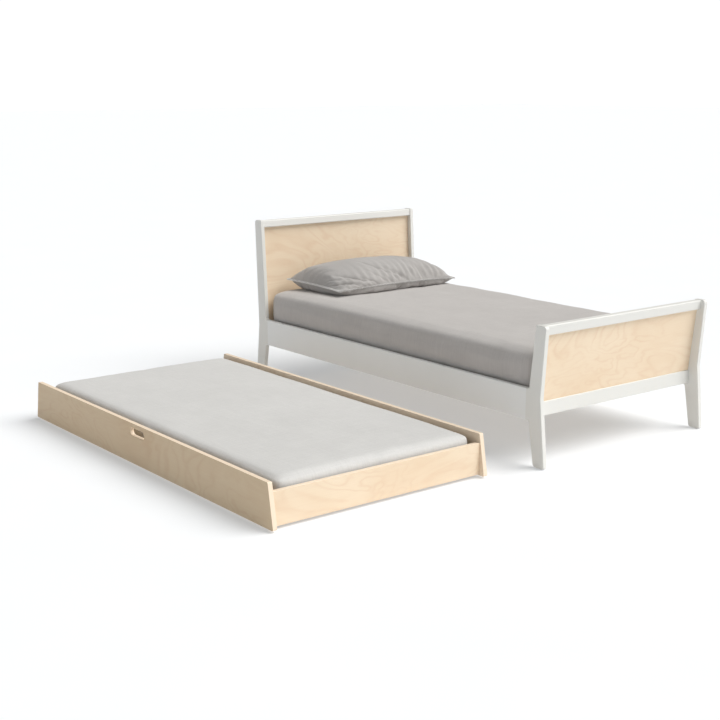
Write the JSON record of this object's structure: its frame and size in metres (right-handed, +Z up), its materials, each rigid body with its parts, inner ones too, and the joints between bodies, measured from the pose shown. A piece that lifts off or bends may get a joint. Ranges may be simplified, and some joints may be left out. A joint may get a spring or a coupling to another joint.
{
  "type": "trundle bed",
  "caption": "White-painted twin bed with birch panels, mattress and pillow, and a low birch trundle bed with its own mattress that rolls out from under it.",
  "frame": {"origin": "on the floor, at the middle of the footprint of the bed and the rolled-out trundle together", "axes": "+Z up; +X from the head to the foot; +Y from the trundle to the bed, the way the trundle rolls in"},
  "size_m": [2.1424, 2.35, 0.858],
  "materials": {
    "white_paint": "white satin paint on solid wood",
    "birch_ply": "clear matt lacquer on birch plywood",
    "bare_birch": "planed, unfinished",
    "dowel_beech": "fluted beech",
    "zinc_steel": "zinc plated",
    "wheel_nylon": "moulded nylon",
    "glide_plastic": "moulded, matt",
    "bed_sheet": "plain cotton, grey",
    "pillow_case": "plain cotton, grey",
    "trundle_sheet": "plain cotton, light grey"
  },
  "bodies": {
    "bed": {"beam_hangers": "zinc_steel", "bed_mattress": "bed_sheet", "bracket_screws": "zinc_steel", "corner_brackets": "zinc_steel", "foot_glides": "glide_plastic", "foot_lower_rail": "white_paint", "foot_panel": "birch_ply", "foot_post_left": "white_paint", "foot_post_right": "white_paint", "foot_top_rail": "white_paint", "frame_dowels": "dowel_beech", "head_lower_rail": "white_paint", "head_panel": "birch_ply", "head_post_left": "white_paint", "head_post_right": "white_paint", "head_top_rail": "white_paint", "ledger_screws": "zinc_steel", "middle_beam": "bare_birch", "pillow": "pillow_case", "side_rail_left": "white_paint", "side_rail_right": "white_paint", "slat_01": "bare_birch", "slat_02": "bare_birch", "slat_03": "bare_birch", "slat_04": "bare_birch", "slat_05": "bare_birch", "slat_06": "bare_birch", "slat_07": "bare_birch", "slat_08": "bare_birch", "slat_09": "bare_birch", "slat_10": "bare_birch", "slat_11": "bare_birch", "slat_12": "bare_birch", "slat_ledger_left": "bare_birch", "slat_ledger_right": "bare_birch", "slat_screws": "zinc_steel"},
    "trundle": {"caster_axles": "zinc_steel", "caster_bearer_foot": "bare_birch", "caster_bearer_head": "bare_birch", "caster_fork_back_foot": "zinc_steel", "caster_fork_back_head": "zinc_steel", "caster_fork_front_foot": "zinc_steel", "caster_fork_front_head": "zinc_steel", "caster_screws": "zinc_steel", "deck_screws": "zinc_steel", "trundle_back_panel": "birch_ply", "trundle_deck_foot": "bare_birch", "trundle_deck_head": "bare_birch", "trundle_dowels": "dowel_beech", "trundle_foot_panel": "birch_ply", "trundle_front_panel": "birch_ply", "trundle_head_panel": "birch_ply", "trundle_ledger_back": "bare_birch", "trundle_ledger_front": "bare_birch", "trundle_ledger_screws": "zinc_steel", "trundle_mattress": "trundle_sheet"},
    "wheel_front_head": {"caster_wheel_front_head": "wheel_nylon"},
    "wheel_front_foot": {"caster_wheel_front_foot": "wheel_nylon"},
    "wheel_back_head": {"caster_wheel_back_head": "wheel_nylon"},
    "wheel_back_foot": {"caster_wheel_back_foot": "wheel_nylon"}
  },
  "joints": [
    {"name": "trundle_roll", "type": "slide", "parent": "bed", "child": "trundle", "axis": [0, 1, 0], "range_m": [0, 1.3]},
    {"name": "wheel_front_head_spin", "type": "hinge", "parent": "trundle", "child": "wheel_front_head", "pos_m": [-0.7, -1.05, 0.022], "axis": [1, 0, 0], "continuous": true},
    {"name": "wheel_front_foot_spin", "type": "hinge", "parent": "trundle", "child": "wheel_front_foot", "pos_m": [0.7, -1.05, 0.022], "axis": [1, 0, 0], "continuous": true},
    {"name": "wheel_back_head_spin", "type": "hinge", "parent": "trundle", "child": "wheel_back_head", "pos_m": [-0.7, -0.25, 0.022], "axis": [1, 0, 0], "continuous": true},
    {"name": "wheel_back_foot_spin", "type": "hinge", "parent": "trundle", "child": "wheel_back_foot", "pos_m": [0.7, -0.25, 0.022], "axis": [1, 0, 0], "continuous": true}
  ],
  "couplings": [
    {"joint": "wheel_front_head_spin", "follows": "trundle_roll", "rad_per_m": -45.455},
    {"joint": "wheel_front_foot_spin", "follows": "trundle_roll", "rad_per_m": -45.455},
    {"joint": "wheel_back_head_spin", "follows": "trundle_roll", "rad_per_m": -45.455},
    {"joint": "wheel_back_foot_spin", "follows": "trundle_roll", "rad_per_m": -45.455}
  ]
}
